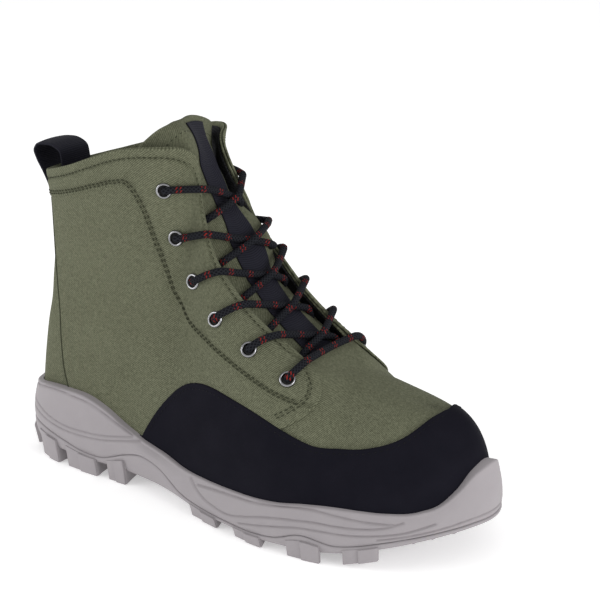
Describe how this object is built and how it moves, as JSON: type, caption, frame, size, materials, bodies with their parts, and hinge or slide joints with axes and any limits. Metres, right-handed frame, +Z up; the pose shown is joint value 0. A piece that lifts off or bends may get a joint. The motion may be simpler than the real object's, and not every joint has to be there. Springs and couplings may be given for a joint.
{
  "type": "wading boot",
  "caption": "Lace-up wading boot for the right foot: hollow canvas upper with a wide toe rand, bellows tongue, cupped midsole, lugged outsole and a pull loop at the heel.",
  "frame": {"origin": "on the floor under the middle of the heel, 40 mm in front of the sole's back", "axes": "+X from the heel to the toe, +Y to the medial side, +Z up; the boot stands on its sole"},
  "size_m": [0.3126, 0.1243, 0.209],
  "materials": {
    "canvas": "olive twill canvas, matt",
    "rand_black": "matt black microfibre",
    "grey_rubber": "moulded, satin",
    "insole_foam": "knitted cloth on foam, matt",
    "black_webbing": "woven webbing",
    "eyelet_metal": "plated, satin",
    "lace_cord": "braided cord"
  },
  "bodies": {
    "root": {"eyelet_lateral_1": "eyelet_metal", "eyelet_lateral_2": "eyelet_metal", "eyelet_lateral_3": "eyelet_metal", "eyelet_lateral_4": "eyelet_metal", "eyelet_lateral_5": "eyelet_metal", "eyelet_lateral_6": "eyelet_metal", "eyelet_medial_1": "eyelet_metal", "eyelet_medial_2": "eyelet_metal", "eyelet_medial_3": "eyelet_metal", "eyelet_medial_4": "eyelet_metal", "eyelet_medial_5": "eyelet_metal", "eyelet_medial_6": "eyelet_metal", "facing_lateral": "canvas", "facing_medial": "canvas", "insole": "insole_foam", "lace_bar": "lace_cord", "lace_crossing_1": "lace_cord", "lace_crossing_2": "lace_cord", "lace_crossing_3": "lace_cord", "lace_crossing_4": "lace_cord", "lace_crossing_5": "lace_cord", "midsole": "grey_rubber", "outsole": "grey_rubber", "pull_loop": "black_webbing", "rand": "rand_black", "tongue": "canvas", "tongue_strip": "black_webbing", "upper": "canvas"}
  },
  "joints": []
}
